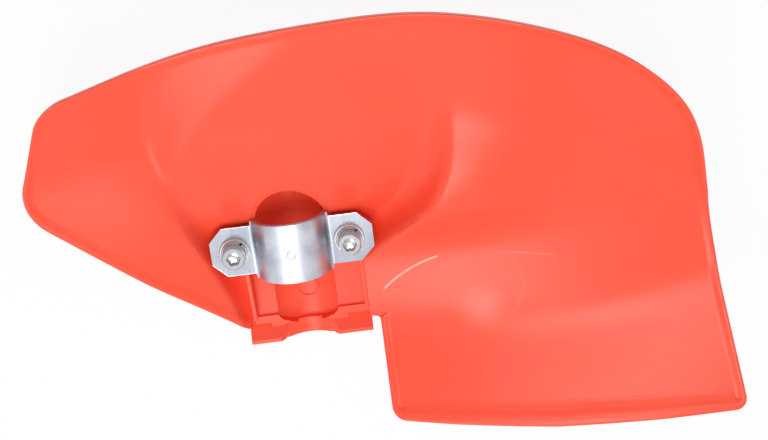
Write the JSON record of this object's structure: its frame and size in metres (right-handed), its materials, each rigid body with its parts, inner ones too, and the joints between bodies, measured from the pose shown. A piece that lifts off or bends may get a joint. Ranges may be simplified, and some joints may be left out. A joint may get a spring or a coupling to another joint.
{
  "type": "trimmer blade guard",
  "caption": "Dished moulded plastic guard with a flared rim, a side flap and a screwed steel strap that clamps it to a round tube.",
  "frame": {"origin": "on the clamped tube's axis, midway along the strap and midway between the screws", "axes": "+X from ear to ear, +Y along the tube towards the operator, +Z along the screws, out of the hollow blade side"},
  "size_m": [0.2812, 0.1881, 0.091],
  "materials": {
    "orange_plastic": "satin moulded",
    "zinc_steel": "bright zinc plate",
    "screw_steel": "zinc plate",
    "washer_steel": "zinc plate"
  },
  "bodies": {
    "root": {"guard_shell": "orange_plastic", "clamp_strap": "zinc_steel", "cap_screws": "screw_steel", "spring_washers": "washer_steel", "flat_washers": "washer_steel", "hex_nuts": "screw_steel"}
  },
  "joints": []
}
